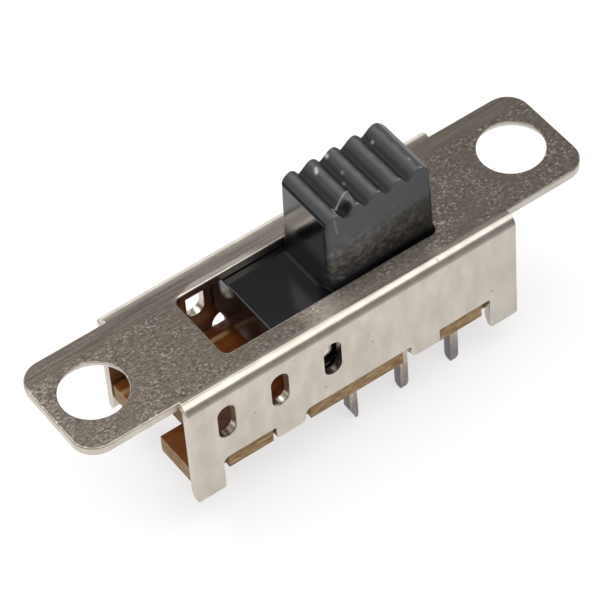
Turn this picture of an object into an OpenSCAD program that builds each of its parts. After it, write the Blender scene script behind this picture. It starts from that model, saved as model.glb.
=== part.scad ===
// Three-position slide switch with two rows of pins under a folded steel frame.
// Origin: middle of the mounting plate's top face. X runs along the switch,
// +Z points out of the panel. The slider is drawn at its +X stop.

/* [Mounting plate] */
// Distance between the centres of the two mounting holes
hole_spacing = 24; // [20:0.1:29]
// Diameter of each mounting hole
hole_d = 3.3; // [2.2:0.1:3.8]
// Hole centre to the end of the plate
ear_end = 2.4; // [2.1:0.1:4]
// Width of the plate's two ears
ear_w = 6.1; // [5:0.1:7]
// Corner radius of the ears
ear_corner_r = 1.25; // [0.3:0.05:2]
// Steel left between a hole and the end of the folded walls
hole_web = 0.97; // [0.6:0.01:2]
// Thickness of the sheet steel
sheet_t = 0.45; // [0.3:0.05:0.6]

/* [Folded walls] */
// Width of the frame over the outside of both walls
channel_w = 7.4; // [6:0.1:9]
// Inside radius of the fold between plate and wall
fold_r = 0.08; // [0.05:0.01:0.3]
// Depth from the plate's top face to the board that the walls sit on
seat_depth = 4.72; // [4.5:0.02:6]
// Width of the leg at each end of a wall
leg_w = 1.62; // [1:0.01:2.2]
// How far the legs reach below the board's top face
leg_drop = 2.04; // [1.2:0.02:2.6]
// Width of the short tab between two notches
tab_w = 1.68; // [1:0.01:2]
// How far the tabs reach below the board's top face
tab_drop = 0.8; // [0.5:0.02:1.2]
// Width of the notch between a leg and a tab
side_notch_w = 3; // [1.5:0.01:3.2]
// Corner radius at the foot of legs and tabs
foot_r = 0.15; // [0.1:0.01:0.35]
// Depth of the bevel on the inner edge of the legs' feet
foot_bevel = 0.25; // [0.05:0.01:0.3]
// Length of that bevel up the leg
foot_bevel_l = 0.6; // [0.2:0.05:0.9]
// Corner radius at the root of the notches, on the -X side of the left and middle ones
notch_r = 0.35; // [0.05:0.01:0.37]
// Corner radius at the other roots of the notches
notch_tight_r = 0.08; // [0.04:0.01:0.1]
// Corner radius of the tabs where they face the middle notch
tab_r = 0.35; // [0.1:0.01:0.7]
// Radius of the round reliefs at the roots of the back wall's middle notch
relief_r = 0.65; // [0.3:0.01:0.8]

/* [Slider] */
// Length of the finger knob along the travel
knob_l = 5.95; // [4:0.01:7.1]
// Width of the finger knob
knob_w = 3.6; // [2.5:0.05:4.2]
// Height of the ridge crests above the plate
knob_h = 4.57; // [2.5:0.01:7]
// Corner radius of the knob's upright edges
knob_r = 0.35; // [0.1:0.05:0.8]
// Number of finger ridges across the knob
ridges = 5; // [3:1:8]
// Height of the ridges from trough to crest
ridge_h = 0.46; // [0.2:0.02:0.8]
// Place of the crest in each ridge, as a share of the ridge's length
ridge_peak = 0.6; // [0.5:0.05:0.7]
// How much of the first ridge is cut off by the knob's end, as a share of its length
ridge_lead = 0.12; // [0:0.01:0.3]
// Gap between the knob and each end of the window at the last position
end_gap = 0.125; // [0.1:0.005:0.5]
// Gap between the knob and each side of the window
window_gap = 0.31; // [0.1:0.005:0.6]
// Corner radius of the window
window_r = 0.4; // [0.1:0.05:0.8]
// Clear height between the slide block and the contact heads under it
block_lift = 0.97; // [0.6:0.01:1.1]
// Running gap between the slide block and the frame around it
block_gap = 0.08; // [0.03:0.01:0.15]

/* [Detent] */
// Distance between neighbouring switch positions
step = 3; // [2:0.1:3.6]
// Diameter of the two detent balls
ball_d = 1.6; // [1.2:0.05:1.8]
// Ball centre to the end of the slide block
ball_inset = 2.03; // [1.2:0.01:3]
// Ball centre below the middle of the slide block's height
ball_drop = 0.3; // [0:0.02:0.34]
// Width of each detent slot
slot_w = 1; // [0.9:0.05:1.2]
// Height of each detent slot
slot_h = 2.12; // [1.4:0.02:2.3]
// Running gap around the balls in the slide block
ball_gap = 0.05; // [0.02:0.01:0.1]
// Wire diameter of the detent spring
wire_d = 0.2; // [0.12:0.01:0.25]
// Play between the detent spring and a circle as wide as the balls
spring_play = 0.1; // [0.02:0.01:0.2]
// Number of coils in the detent spring
coils = 6; // [4:1:8]

/* [Terminal board] */
// Thickness of the terminal board
board_t = 1.05; // [0.8:0.05:1.6]
// How far the lugs stop short of the wall's outer face
lug_inset = 0.17; // [0:0.01:0.3]
// Gap between the board and the walls, and beside the outer lugs
board_gap = 0.05; // [0.02:0.01:0.12]
// Gap between a lug's free end and the side of its notch
lug_gap = 0.38; // [0.38:0.01:0.6]
// Gap between an outer lug and the tab beside it
tab_gap = 0.1; // [0.1:0.01:0.3]
// How far each end of the board stops short of the walls' ends
board_inset = 0.08; // [0:0.01:0.4]
// Width of the gap between the two tongues at each end of the board
fork_w = 1.5; // [0.8:0.1:2.5]
// Depth of the gap between the two tongues
fork_l = 1.6; // [0.8:0.1:2]

/* [Terminals] */
// Width and thickness of a pin
pin_w = 0.5; // [0.35:0.01:0.6]
// How far the pins reach below the board's top face
pin_drop = 3.78; // [3.2:0.02:5]
// Length of the pin's pointed tip
tip_l = 0.5; // [0.2:0.05:0.9]
// Pin's outer face to the long edge of the board
pin_edge = 0.2; // [0.15:0.01:0.5]
// Length of the contact head along the row
head_l = 1.4; // [1:0.05:1.8]
// Width of the contact head across the switch
head_w = 1.6; // [1:0.05:1.7]
// Thickness of the contact head
head_t = 0.4; // [0.2:0.02:0.5]
// Gap around each pin in the board
pin_gap = 0.04; // [0.02:0.01:0.1]

/* [Moving contacts] */
// How far a strip reaches past the middles of the two contact heads it bridges
strip_reach = 0.3; // [0.1:0.05:0.5]
// Width of each contact strip
strip_w = 1.2; // [0.8:0.05:1.4]
// Thickness of each contact strip
strip_t = 0.2; // [0.1:0.01:0.25]
// Gap between the strip's feet and the contact heads
contact_gap = 0.02; // [0.01:0.01:0.05]
// Depth of the pocket in the slide block that holds the strip's crown
pocket_depth = 0.1; // [0.1:0.02:0.6]
// Gap around the strip in its pocket
pocket_gap = 0.05; // [0.02:0.01:0.1]

/* [Hidden] */
$fn = 64;
pins_in_row = 3;

// Frame
bend_r = fold_r + sheet_t;
channel_l = hole_spacing - hole_d - 2 * hole_web;
plate_l = hole_spacing + 2 * ear_end;
inner_w = channel_w - 2 * sheet_t;
leg_x = channel_l / 2 - leg_w;
tab_x = leg_x - side_notch_w;
mid_notch_x = tab_x - tab_w;
leg_depth = seat_depth + leg_drop;
tab_depth = seat_depth + tab_drop;
relief_in = 0.18;
window_l = knob_l + 2 * step + 2 * end_gap;
window_w = knob_w + 2 * window_gap;

// Slider, drawn one step to +X of the middle position
rest_x = step;
block_l = channel_l - 2 * step;
block_w = inner_w - 2 * block_gap;
block_top = -sheet_t - block_gap;
head_top = -seat_depth + head_t;
block_bottom = head_top + block_lift;
ridge_steps = 12;

// Detent, with the balls pressed in flush with the walls' inner faces
ball_offset = block_l / 2 - ball_inset;
ball_x = rest_x - ball_offset;
ball_z = (block_top + block_bottom) / 2 - ball_drop;
ball_in = 0.02;
ball_y = inner_w / 2 - ball_in - ball_d / 2;
bore_d = ball_d + 2 * ball_gap;
spring_gap = 0.03;
spring_r = (ball_d - wire_d) / 2 - spring_play;
// From a ball's centre to the middle of the wire ring that rests against it
spring_seat = sqrt(pow((ball_d + wire_d) / 2 + spring_gap, 2) - pow(spring_r, 2));
spring_l = 2 * (ball_y - spring_seat) + wire_d;

// Board and terminals
board_l = channel_l - 2 * board_inset;
board_w = inner_w - 2 * board_gap;
mid_lug_x = mid_notch_x - lug_gap;
lug_y = channel_w / 2 - lug_inset;
pin_y = board_w / 2 - pin_edge - pin_w / 2;
head_y = pin_y + pin_w / 2 - head_w / 2;
strip_x = rest_x + step / 2;
strip_foot = head_top + contact_gap;
strip_l = step + 2 * strip_reach;
pocket_top = block_bottom + pocket_depth;
strip_bow = pocket_top - pocket_gap - strip_t - strip_foot;
strip_r = (pow(strip_l / 2, 2) + pow(strip_bow, 2)) / (2 * strip_bow);

// Colours
steel = [0.62, 0.59, 0.55];
phenolic = [0.4, 0.23, 0.1];
black = [0.2, 0.2, 0.21];
tinned = [0.56, 0.54, 0.55];
bronze = [0.72, 0.55, 0.35];
bright = [0.8, 0.8, 0.8];

function pin_x(i) = step * (i - 1);

// Rectangle of length l and width w with corners of radius r
module rounded_rect(l, w, r) {
    square([l - 2 * r, w], center = true);
    square([l, w - 2 * r], center = true);
    for (sx = [-1, 1], sy = [-1, 1])
        translate([sx * (l / 2 - r), sy * (w / 2 - r)]) circle(r);
}

// The sliver left outside a corner of radius r, with the corner at the origin
module corner_sliver(r) {
    difference() {
        translate([-1, -1]) square(r + 1);
        translate([r, r]) circle(r);
        translate([0, r]) square(r);
        translate([r, 0]) square(r);
    }
}

// Cross-section of an inverted trough: width w, height h, top corners of radius r
module trough(w, h, r) {
    translate([-w / 2, -h]) square([w, h - r]);
    translate([-w / 2 + r, -r]) square([w - 2 * r, r]);
    for (s = [-1, 1]) translate([s * (w / 2 - r), -r]) circle(r);
}

// Notch that opens downwards between x0 and x1, with roots of radius r0 and r1
module notch(x0, x1, r0, r1) {
    half = (x1 - x0) / 2;
    translate([x0, -2 * leg_depth]) square([half, 2 * leg_depth - seat_depth - r0]);
    translate([x0 + half, -2 * leg_depth]) square([half, 2 * leg_depth - seat_depth - r1]);
    translate([x0 + r0, -seat_depth - 1]) square([x1 - x0 - r0 - r1, 1]);
    translate([x0 + r0, -seat_depth - r0]) circle(r0);
    translate([x1 - r1, -seat_depth - r1]) circle(r1);
}

// Everything that is punched out of a wall, seen from the front
module wall_punchings() {
    notch(-leg_x, -tab_x, notch_r, notch_tight_r);
    notch(-mid_notch_x, mid_notch_x, notch_r, notch_tight_r);
    notch(tab_x, leg_x, notch_tight_r, notch_tight_r);
    for (s = [-1, 1]) {
        translate([min(s * leg_x, s * (mid_notch_x - 1)), -2 * leg_depth])
            square([leg_x - mid_notch_x + 1, 2 * leg_depth - tab_depth]);
        mirror([s < 0 ? 1 : 0, 0]) {
            translate([mid_notch_x, -tab_depth]) corner_sliver(tab_r);
            translate([tab_x, -tab_depth]) mirror([1, 0]) corner_sliver(foot_r);
            translate([leg_x, -leg_depth]) corner_sliver(foot_r);
            translate([channel_l / 2, -leg_depth]) mirror([1, 0]) corner_sliver(foot_r);
        }
    }
}

// Slot with round ends for a detent ball, standing upright
module detent_slot() {
    square([slot_w, slot_h - slot_w], center = true);
    for (s = [-1, 1]) translate([0, s * (slot_h - slot_w) / 2]) circle(slot_w / 2);
}

// One blank of sheet steel, punched and folded
module frame() {
    color(steel) difference() {
        union() {
            translate([0, 0, -sheet_t]) linear_extrude(sheet_t) rounded_rect(plate_l, ear_w, ear_corner_r);
            rotate([90, 0, 90]) linear_extrude(channel_l, center = true) difference() {
                trough(channel_w, leg_depth, bend_r);
                translate([0, -sheet_t]) trough(inner_w, leg_depth, fold_r);
                for (s = [-1, 1]) translate([s * inner_w / 2, -leg_depth])
                    polygon([[0, 0], [s * foot_bevel, 0], [0, foot_bevel_l]]);
            }
        }
        translate([0, 0, -1]) linear_extrude(2) rounded_rect(window_l, window_w, window_r);
        for (s = [-1, 1]) translate([s * hole_spacing / 2, 0, -1]) cylinder(h = 2, d = hole_d);
        rotate([90, 0, 0]) linear_extrude(2 * channel_w, center = true) {
            wall_punchings();
            for (i = [-1 : 1]) translate([i * step - ball_offset, ball_z]) detent_slot();
        }
        for (s = [-1, 1]) translate([s * (mid_notch_x - relief_in), 0, -seat_depth])
            rotate([-90, 0, 0]) cylinder(h = channel_w, r = relief_r);
    }
}

// Point at share t of ridge k: a hump that leans to +X. The last one is drawn out to the knob's end
function ridge_point(k, t) = [
    knob_l * ((k - ridge_lead + t + (k < ridges - 1 ? 0
        : ridge_lead * max(0, (t - ridge_peak) / (1 - ridge_peak)))) / ridges - 0.5),
    knob_h - ridge_h + ridge_h * sin(180 * pow(t, ln(0.5) / ln(ridge_peak)))];

// Side outline of the knob: straight sides under a row of rounded ridges
module knob_outline() {
    polygon(concat(
        [[-knob_l / 2, block_bottom + 1], [-knob_l / 2, ridge_point(0, ridge_lead)[1]]],
        [for (i = [1 : ridges * ridge_steps]) if (i > (ridge_lead + 0.02) * ridge_steps)
            ridge_point(ceil(i / ridge_steps) - 1, i / ridge_steps - ceil(i / ridge_steps) + 1)],
        [[knob_l / 2, block_bottom + 1]]));
}

// Moulded slide block and knob, with its cross bore and two contact pockets
module slider() {
    pocket_l = strip_l + 2 * pocket_gap;
    pocket_w = strip_w + 2 * pocket_gap;
    color(black) difference() {
        union() {
            translate([rest_x - block_l / 2, -block_w / 2, block_bottom])
                cube([block_l, block_w, block_top - block_bottom]);
            translate([rest_x, 0, 0]) intersection() {
                rotate([90, 0, 0]) linear_extrude(knob_w, center = true) knob_outline();
                translate([0, 0, -leg_depth]) linear_extrude(2 * leg_depth + knob_h)
                    rounded_rect(knob_l, knob_w, knob_r);
            }
        }
        translate([ball_x, 0, ball_z]) rotate([90, 0, 0]) cylinder(h = 2 * channel_w, d = bore_d, center = true);
        for (s = [-1, 1]) translate([strip_x - pocket_l / 2, s * head_y - pocket_w / 2, block_bottom - 1])
            cube([pocket_l, pocket_w, pocket_top - block_bottom + 1]);
    }
}

// Board outline: a plain strip, three lugs a side, and a forked tongue at each end. Pins between two lugs
// stand in slots that are open at the board's edge
module board_outline() {
    difference() {
        union() {
            square([board_l, board_w], center = true);
            square([2 * mid_lug_x, 2 * lug_y], center = true);
            for (s = [-1, 1]) translate([s * (tab_x + tab_gap + leg_x - lug_gap) / 2, 0])
                square([side_notch_w - tab_gap - lug_gap, 2 * lug_y], center = true);
        }
        for (s = [-1, 1]) translate([s * board_l / 2, 0]) square([2 * fork_l, fork_w], center = true);
        for (i = [1 : pins_in_row], s = [-1, 1]) {
            translate([pin_x(i), s * pin_y]) square(pin_w + 2 * pin_gap, center = true);
            if (pin_x(i) > mid_lug_x && pin_x(i) < tab_x)
                translate([pin_x(i), s * (pin_y + pin_w)]) square(pin_w + 2 * pin_gap, center = true);
        }
    }
}

module terminal_board() {
    color(phenolic) translate([0, 0, -seat_depth - board_t]) linear_extrude(board_t) board_outline();
}

// Terminal i of a row: a flat contact head and a pointed square pin in one piece
module terminal(i, side) {
    tip_w = pin_w / 2;
    color(tinned) translate([pin_x(i), 0, 0]) {
        translate([-head_l / 2, side * head_y - head_w / 2, -seat_depth]) cube([head_l, head_w, head_t]);
        translate([0, side * pin_y - pin_w / 2, 0]) rotate([90, 0, 0]) mirror([0, 0, 1]) linear_extrude(pin_w)
            polygon([[-pin_w / 2, -seat_depth], [-pin_w / 2, -seat_depth - pin_drop + tip_l],
                [-tip_w / 2, -seat_depth - pin_drop], [tip_w / 2, -seat_depth - pin_drop],
                [pin_w / 2, -seat_depth - pin_drop + tip_l], [pin_w / 2, -seat_depth]]);
    }
}

// Bowed strip that bridges two neighbouring contact heads
module contact_strip(side) {
    color(bronze) translate([strip_x, side * head_y + strip_w / 2, strip_foot])
        rotate([90, 0, 0]) linear_extrude(strip_w) intersection() {
            translate([0, strip_bow - strip_r]) difference() {
                circle(strip_r + strip_t, $fn = 128);
                circle(strip_r, $fn = 128);
            }
            translate([-strip_l / 2, 0]) square([strip_l, 2 * strip_bow]);
        }
}

module ball(side) {
    color(bright) translate([ball_x, side * ball_y, ball_z]) sphere(d = ball_d);
}

// Open coil spring along Y that pushes the two balls apart
module detent_spring() {
    sides = 8;
    turn_steps = 12;
    rings = coils * turn_steps;
    rise = (spring_l - wire_d) / rings;
    // Points of ring k: a wire circle turned to stand across the coil
    function ring(k) = [for (j = [0 : sides - 1])
        let (a = 360 * k / turn_steps, b = 360 * j / sides, r = spring_r + wire_d / 2 * cos(b))
        [r * cos(a), (k - rings / 2) * rise + wire_d / 2 * sin(b), r * sin(a)]];
    color(bright) translate([ball_x, 0, ball_z]) polyhedron(
        points = [for (k = [0 : rings]) each ring(k)],
        faces = concat(
            [[for (j = [0 : sides - 1]) j]],
            [for (k = [0 : rings - 1], j = [0 : sides - 1])
                [k * sides + j, (k + 1) * sides + j, (k + 1) * sides + (j + 1) % sides, k * sides + (j + 1) % sides]],
            [[for (j = [sides - 1 : -1 : 0]) rings * sides + j]]));
}

frame();
terminal_board();
slider();
for (i = [1 : pins_in_row]) {
    terminal(i, -1);
    terminal(i, 1);
}
contact_strip(-1);  // front_contact_strip
contact_strip(1);  // back_contact_strip
ball(-1);  // front_ball
ball(1);  // back_ball
detent_spring();
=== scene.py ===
"""Looks of a panel-mount slide switch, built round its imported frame.

Lengths are millimetres until a mesh is made, when they become metres. X runs along the switch, Y away from
the front row of pins and Z out of the panel, with the origin on the plate's top face.
"""
import math

import bmesh
import bpy
import numpy as np
from mathutils import Matrix, Quaternion, Vector


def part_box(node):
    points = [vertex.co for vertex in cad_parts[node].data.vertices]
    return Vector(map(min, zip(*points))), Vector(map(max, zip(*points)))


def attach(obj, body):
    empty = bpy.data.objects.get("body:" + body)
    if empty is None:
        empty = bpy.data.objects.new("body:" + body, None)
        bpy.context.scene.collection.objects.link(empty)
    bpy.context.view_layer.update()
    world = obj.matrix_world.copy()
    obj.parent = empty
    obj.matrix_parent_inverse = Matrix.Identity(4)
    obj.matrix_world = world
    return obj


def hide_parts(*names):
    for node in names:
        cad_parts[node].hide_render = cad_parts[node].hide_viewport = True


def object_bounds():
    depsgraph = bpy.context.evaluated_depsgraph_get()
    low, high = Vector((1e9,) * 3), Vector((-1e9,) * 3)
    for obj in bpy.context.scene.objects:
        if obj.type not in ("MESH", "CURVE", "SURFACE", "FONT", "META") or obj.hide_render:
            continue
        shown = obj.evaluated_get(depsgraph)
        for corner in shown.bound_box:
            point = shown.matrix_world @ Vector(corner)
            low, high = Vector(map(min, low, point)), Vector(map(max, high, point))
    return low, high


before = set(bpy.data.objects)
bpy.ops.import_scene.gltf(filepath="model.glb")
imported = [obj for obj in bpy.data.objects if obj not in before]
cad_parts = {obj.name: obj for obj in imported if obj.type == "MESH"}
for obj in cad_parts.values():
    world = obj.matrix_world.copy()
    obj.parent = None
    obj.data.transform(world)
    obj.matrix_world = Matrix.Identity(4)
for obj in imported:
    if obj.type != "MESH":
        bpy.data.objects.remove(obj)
cad_low, cad_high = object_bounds()

# ---------------------------------------------------------------------------------------------------------
# Camera: a long lens looks down on the switch from its front left corner, tilted a little to one side.
# ---------------------------------------------------------------------------------------------------------
MM = 0.001
scene = bpy.context.scene
view_azimuth = math.radians(32.07)
view_elevation = math.radians(49.36)
view_roll = math.radians(-4.93)
camera_place = Vector((-60.274, -95.313, 129.003)) * MM

camera_data = bpy.data.cameras.new("camera")
camera_data.lens = 221.09
camera_data.sensor_width = 36
camera_data.clip_start, camera_data.clip_end = 0.01, 5
camera = bpy.data.objects.new("camera", camera_data)
scene.collection.objects.link(camera)
towards_camera = Vector((-math.sin(view_azimuth) * math.cos(view_elevation),
                         -math.cos(view_azimuth) * math.cos(view_elevation), math.sin(view_elevation)))
camera.location = camera_place
camera.rotation_mode = "QUATERNION"
camera.rotation_quaternion = towards_camera.to_track_quat("Z", "Y") @ Quaternion((0, 0, 1), view_roll)
scene.camera = camera
scene.view_settings.view_transform = "Standard"


# ---------------------------------------------------------------------------------------------------------
# Table, room and light: a white table that ends a little way in front of the switch, in a dim room. One long
# softbox hangs overhead and runs from the back left to the front right. A small one stands at the back left,
# and a wide one stands low at the back right, as a lit backdrop.
# ---------------------------------------------------------------------------------------------------------
def linear(hex_colour):
    """sRGB hex colour as linear red, green, blue and alpha 1."""
    s = np.array([int(hex_colour[i:i + 2], 16) for i in (1, 3, 5)]) / 255
    return (*np.where(s <= 0.04045, s / 12.92, ((s + 0.055) / 1.055) ** 2.4).tolist(), 1.0)


def add(tree, kind, inputs=None, **settings):
    """Adds a node. settings are its properties. inputs maps its sockets to values, to other sockets, or to
    nodes, which are linked by the first output that they have in use."""
    made = tree.nodes.new(kind)
    for name, value in settings.items():
        setattr(made, name, value)
    for name, value in (inputs or {}).items():
        if isinstance(value, bpy.types.Node):
            value = next(socket for socket in value.outputs if socket.enabled)
        if isinstance(value, bpy.types.NodeSocket):
            tree.links.new(value, made.inputs[name])
        else:
            made.inputs[name].default_value = value
    return made


def new_material(name):
    """An empty material with an output node: the material, its node tree and its surface socket."""
    made = bpy.data.materials.new(name)
    made.use_nodes = True
    made.node_tree.nodes.clear()
    output = add(made.node_tree, "ShaderNodeOutputMaterial")
    return made, made.node_tree, output.inputs["Surface"]


def grid_mesh(name, points, around=False, caps=False):
    """Mesh of a grid of points (rows, columns, xyz) in millimetres, with quads between neighbours.

    around joins the last column to the first, and caps closes the first and last rows with a face each."""
    rows, columns = points.shape[:2]
    index = np.arange(rows * columns).reshape(rows, columns)
    right = np.roll(index, -1, 1) if around else index[:, 1:]
    left = index if around else index[:, :-1]
    quads = np.stack([left[:-1], right[:-1], right[1:], left[1:]], -1).reshape(-1, 4).tolist()
    ends = [index[0, ::-1].tolist(), index[-1].tolist()] if caps else []
    mesh = bpy.data.meshes.new(name)
    mesh.from_pydata((points.reshape(-1, 3) * MM).tolist(), [], quads + ends)
    return mesh


def new_piece(name, mesh, material, body=None):
    """Puts a mesh into the scene as an object at the origin, which rides on a body."""
    made = bpy.data.objects.new(name, mesh)
    scene.collection.objects.link(made)
    mesh.materials.clear()
    mesh.materials.append(material)
    if body:
        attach(made, body)
    return made


# Matt white paint: it looks white to the eye and in the metal, and throws less light on the object than it
# seems to.
white_paint, tree, surface = new_material("white_table_paint")
ray = add(tree, "ShaderNodeLightPath")
seen = add(tree, "ShaderNodeMath", {0: ray.outputs["Is Camera Ray"], 1: ray.outputs["Is Glossy Ray"]},
           operation="MAXIMUM")
seen = add(tree, "ShaderNodeMath", {0: seen, 1: ray.outputs["Is Transmission Ray"]}, operation="MAXIMUM")
white_share = 0.66
seen = add(tree, "ShaderNodeMath", {0: seen, 1: white_share}, operation="MULTIPLY")
glow = add(tree, "ShaderNodeEmission", {"Color": linear("#ffffff"), "Strength": seen})
paint = add(tree, "ShaderNodeBsdfDiffuse", {"Color": linear("#aaa9a8")})
tree.links.new(add(tree, "ShaderNodeAddShader", {0: paint, 1: glow}).outputs[0], surface)

floor_left, floor_right, floor_front, floor_back = -250, 250, -120, 300
floor_z = cad_low.z / MM
floor_points = np.array([[(floor_left, floor_front, floor_z), (floor_right, floor_front, floor_z)],
                         [(floor_left, floor_back, floor_z), (floor_right, floor_back, floor_z)]])
new_piece("floor", grid_mesh("floor", floor_points), white_paint)

room_light = 0.28
world = bpy.data.worlds.new("dim_room")
scene.world = world
world.use_nodes = True
world.node_tree.nodes.clear()
ray = add(world.node_tree, "ShaderNodeLightPath")
strength = add(world.node_tree, "ShaderNodeMix", {"Factor": ray.outputs["Is Camera Ray"], "A": room_light,
                                                  "B": 1.0})
background = add(world.node_tree, "ShaderNodeBackground",
                 {"Color": linear("#ffffff"), "Strength": strength})
add(world.node_tree, "ShaderNodeOutputWorld", {"Surface": background})


def lamp(name, place, aim, long_side, length, width, radiance):
    """A rectangular area lamp at a place, which shines at aim and has its length along long_side."""
    data = bpy.data.lights.new(name, "AREA")
    data.shape = "RECTANGLE"
    data.size, data.size_y = length * MM, width * MM
    data.energy = radiance * math.pi * data.size * data.size_y
    made = bpy.data.objects.new(name, data)
    scene.collection.objects.link(made)
    back = (Vector(place) - Vector(aim)).normalized()
    along = (Vector(long_side) - back * back.dot(Vector(long_side))).normalized()
    turn = Matrix((along, back.cross(along), back)).transposed().to_4x4()
    made.matrix_world = Matrix.Translation(Vector(place) * MM) @ turn
    made.visible_camera = False


lamp("softbox", place=(-30, 12, 300), aim=(-30, 12, 0), long_side=(0.5, -0.866, 0), length=720, width=300,
     radiance=1.95)
lamp("small_softbox", place=(-132, 211, 290), aim=(0, 0, 0), long_side=(1, 0, 0), length=180, width=180,
     radiance=1.4)
lamp("backdrop", place=(130, 335, 95), aim=(0, 0, 95), long_side=(0.93, -0.36, 0), length=440, width=190,
     radiance=1.2)


# ---------------------------------------------------------------------------------------------------------
# Frame: one blank of zinc-plated sheet steel, punched, folded down along both sides and clipped over the
# board. Punching rounds the upper edges a little. The two ears carry the screw holes.
# ---------------------------------------------------------------------------------------------------------
def merged_copy(node):
    """A CAD node's mesh with its doubles merged and its flat faces made whole again."""
    shape = bmesh.new()
    shape.from_mesh(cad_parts[node].data)
    bmesh.ops.remove_doubles(shape, verts=shape.verts, dist=1e-7)
    bmesh.ops.dissolve_limit(shape, angle_limit=math.radians(1), verts=shape.verts, edges=shape.edges)
    shape.verts.index_update()
    mesh = bpy.data.meshes.new(node)
    mesh.from_pydata([v.co for v in shape.verts], [], [[v.index for v in f.verts] for f in shape.faces])
    shape.free()
    return mesh


def soften(piece, width, segments=3, angle=30):
    """Rounds a piece's edges by width, and keeps its flat faces flat in shading."""
    piece.data.shade_smooth()
    bevel = piece.modifiers.new("edges", "BEVEL")
    bevel.width = width * MM
    bevel.segments = segments
    bevel.limit_method = "ANGLE"
    bevel.angle_limit = math.radians(angle)
    piece.modifiers.new("flat_faces", "WEIGHTED_NORMAL")


def millimetres(tree, scale=(1, 1, 1)):
    """Object coordinates in millimetres, times a scale for each axis."""
    place = add(tree, "ShaderNodeTexCoord").outputs["Object"]
    return add(tree, "ShaderNodeMapping", {"Vector": place, "Scale": [s / MM for s in scale]})


# Zinc-plated steel: a warm grey metal. The rolled plate shows the plating as light and dark grain of about
# 0.2 mm, with crystals of 0.1 mm that lean a little, so that some of them flash; those flashes are also
# painted in as near-white glints. The walls, ironed smooth by the folding tool, are paler and even.
zinc_plate, tree, surface = new_material("zinc_plated_steel_punched")
place = millimetres(tree)
along, across, height = add(tree, "ShaderNodeSeparateXYZ", {0: place}).outputs
off_centre = add(tree, "ShaderNodeMath", {0: across}, operation="ABSOLUTE")
rubbed = add(tree, "ShaderNodeMapRange", {"Value": across, "From Min": 1.9, "From Max": 2.3})
on_plate = add(tree, "ShaderNodeMapRange", {"Value": height, "From Min": -0.05, "From Max": -0.005})
off_fold = add(tree, "ShaderNodeMapRange", {"Value": off_centre, "From Min": 2.95, "From Max": 3.2,
                                            "To Min": 1.0, "To Max": 0.0})
on_plate = add(tree, "ShaderNodeMath", {0: on_plate, 1: off_fold}, operation="MULTIPLY")

# Grain and crystals, livelier in some patches than in others.
crystals = add(tree, "ShaderNodeTexVoronoi", {"Vector": millimetres(tree, (9.0, 14.0, 14.0)), "Scale": 1.0})
facet = add(tree, "ShaderNodeSeparateColor", {0: crystals.outputs["Color"]})
grain = add(tree, "ShaderNodeTexNoise", {"Vector": millimetres(tree, (4.5, 6.5, 6.5)), "Scale": 1.0,
                                         "Detail": 4.0, "Roughness": 0.65})
clouds = add(tree, "ShaderNodeTexNoise", {"Vector": place, "Scale": 0.45, "Detail": 3.0})
lively = add(tree, "ShaderNodeMapRange", {"Value": clouds, "From Min": 0.36, "From Max": 0.60,
                                          "To Min": 0.3, "To Max": 1.0})
lively = add(tree, "ShaderNodeMath", {0: lively, 1: on_plate}, operation="MULTIPLY")
grainy = add(tree, "ShaderNodeMath", {0: 1.0, 1: rubbed}, operation="SUBTRACT")
lively = add(tree, "ShaderNodeMath", {0: lively, 1: grainy}, operation="MULTIPLY")
light_grain = add(tree, "ShaderNodeMapRange", {"Value": grain, "From Min": 0.36, "From Max": 0.64})
light_grain = add(tree, "ShaderNodeMix", {"Factor": lively, "A": 0.5, "B": light_grain})
plate_tone = add(tree, "ShaderNodeMix", {"Factor": light_grain, "A": linear("#73685e"),
                                         "B": linear("#b1a598")}, data_type="RGBA")
# Painted glints: the crystals that flash are painted near white too.
painted_glint = add(tree, "ShaderNodeMapRange", {"Value": facet, "From Min": 0.78, "From Max": 0.97})
painted_glint = add(tree, "ShaderNodeMath", {0: painted_glint, 1: lively}, operation="MULTIPLY")
painted_glint = add(tree, "ShaderNodeMath", {0: painted_glint, 1: 0.6}, operation="MULTIPLY")
plate_tone = add(tree, "ShaderNodeMix", {"Factor": painted_glint, "A": plate_tone, "B": linear("#fffaf2")},
                 data_type="RGBA")

# Walls: faint upright smudges, darker towards the right end, and a few dark specks.
smudge = add(tree, "ShaderNodeTexNoise", {"Vector": millimetres(tree, (1.1, 1.1, 0.5)), "Scale": 1.0,
                                          "Detail": 3.0})
smudge = add(tree, "ShaderNodeMapRange", {"Value": smudge, "From Min": 0.35, "From Max": 0.65})
wall_tone = add(tree, "ShaderNodeMix", {"Factor": smudge, "A": linear("#bfb7ab"), "B": linear("#cfc7bc")},
                data_type="RGBA")
darker_right_end = add(tree, "ShaderNodeMapRange", {"Value": along, "From Min": 6.0, "From Max": 9.5,
                                            "To Max": 0.5})
wall_tone = add(tree, "ShaderNodeMix", {"Factor": darker_right_end, "A": wall_tone, "B": linear("#b3aea6")},
                data_type="RGBA")
speck = add(tree, "ShaderNodeTexVoronoi", {"Vector": place, "Scale": 0.9}).outputs["Distance"]
speck = add(tree, "ShaderNodeMapRange", {"Value": speck, "From Min": 0.03, "From Max": 0.09, "To Min": 0.6,
                                         "To Max": 0.0})
wall_tone = add(tree, "ShaderNodeMix", {"Factor": speck, "A": wall_tone, "B": linear("#6e665e")},
                data_type="RGBA")
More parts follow.
